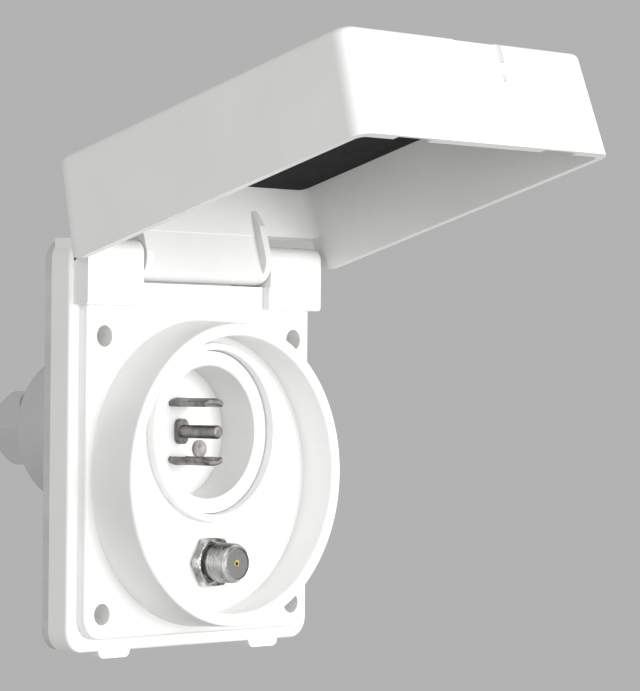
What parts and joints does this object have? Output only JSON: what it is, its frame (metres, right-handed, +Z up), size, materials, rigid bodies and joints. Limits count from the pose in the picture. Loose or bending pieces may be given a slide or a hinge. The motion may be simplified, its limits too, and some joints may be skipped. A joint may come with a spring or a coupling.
{
  "type": "power inlet",
  "caption": "Weatherproof wall power inlet with a hinged box lid, a round collar, recessed power contacts and a coaxial antenna socket.",
  "frame": {"origin": "centre of the four wall screw holes, in the plane of the wall (the gasket's back)", "axes": "X to the right, Y into the wall, Z up; the inlet faces -Y"},
  "size_m": [0.0862, 0.1505, 0.1391],
  "materials": {
    "housing_plastic": "white moulded plastic, slight gloss",
    "gasket_foam": "light grey closed-cell foam",
    "hinge_steel": "stainless steel rod",
    "lid_plastic": "white moulded plastic, slight gloss",
    "seal_rubber": "black foam rubber sheet",
    "insert_plastic": "white moulded plastic",
    "insert_rubber": "black flat rubber ring",
    "ring_nut_plastic": "off-white plastic",
    "contact_metal": "nickel-plated brass, dulled",
    "rivet_metal": "nickel-plated brass",
    "screw_steel": "stainless steel",
    "cover_plastic": "light grey moulded plastic",
    "gland_plastic": "light grey moulded plastic",
    "gland_rubber": "black rubber sleeve",
    "coax_metal": "nickel-plated brass",
    "washer_steel": "plain steel washer",
    "coax_plastic": "off-white insulator",
    "coax_spring": "bright contact metal"
  },
  "bodies": {
    "housing": {"flange_housing": "housing_plastic", "mounting_gasket": "gasket_foam", "hinge_pin": "hinge_steel", "inlet_insert": "insert_plastic", "insert_seal": "insert_rubber", "insert_ring_nut": "ring_nut_plastic", "line_contact": "contact_metal", "neutral_contact": "contact_metal", "ground_contact": "contact_metal", "contact_rivet": "rivet_metal", "terminal_screws": "screw_steel", "terminal_cover": "cover_plastic", "cover_screws": "screw_steel", "gland_body": "gland_plastic", "gland_locknut": "gland_plastic", "gland_cap": "gland_plastic", "gland_seal": "gland_rubber", "coax_barrel": "coax_metal", "coax_front_nut": "coax_metal", "coax_rear_nut": "coax_metal", "coax_washer": "washer_steel", "coax_insulator": "coax_plastic", "coax_contact": "coax_spring"},
    "lid": {"lid": "lid_plastic", "lid_seal_pad": "seal_rubber"}
  },
  "joints": [
    {"name": "lid_hinge", "type": "hinge", "parent": "housing", "child": "lid", "pos_m": [0, -0.0084, 0.0502], "axis": [1, 0, 0], "range_deg": [0, 106.3]}
  ]
}
